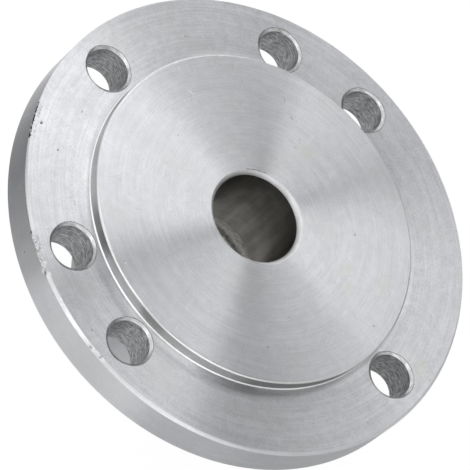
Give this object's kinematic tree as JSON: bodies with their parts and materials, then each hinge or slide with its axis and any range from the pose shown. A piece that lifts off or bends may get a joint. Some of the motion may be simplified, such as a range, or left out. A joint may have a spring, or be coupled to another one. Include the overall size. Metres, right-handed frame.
{
  "type": "lathe faceplate",
  "caption": "Round machined steel faceplate: a flange with a low round register, through bolt holes, a central bore and a threaded hub on the back.",
  "frame": {"origin": "centre of the hub's end face, at the back of the faceplate", "axes": "+Z along the bore's axis, from the hub towards the face that takes the chuck; +X through the bolt hole that both bolt patterns share"},
  "size_m": [0.1, 0.1, 0.04],
  "materials": {
    "turned_steel": "turned bright steel with fine circular tool marks, no coating"
  },
  "bodies": {
    "root": {"faceplate": "turned_steel"}
  },
  "joints": []
}
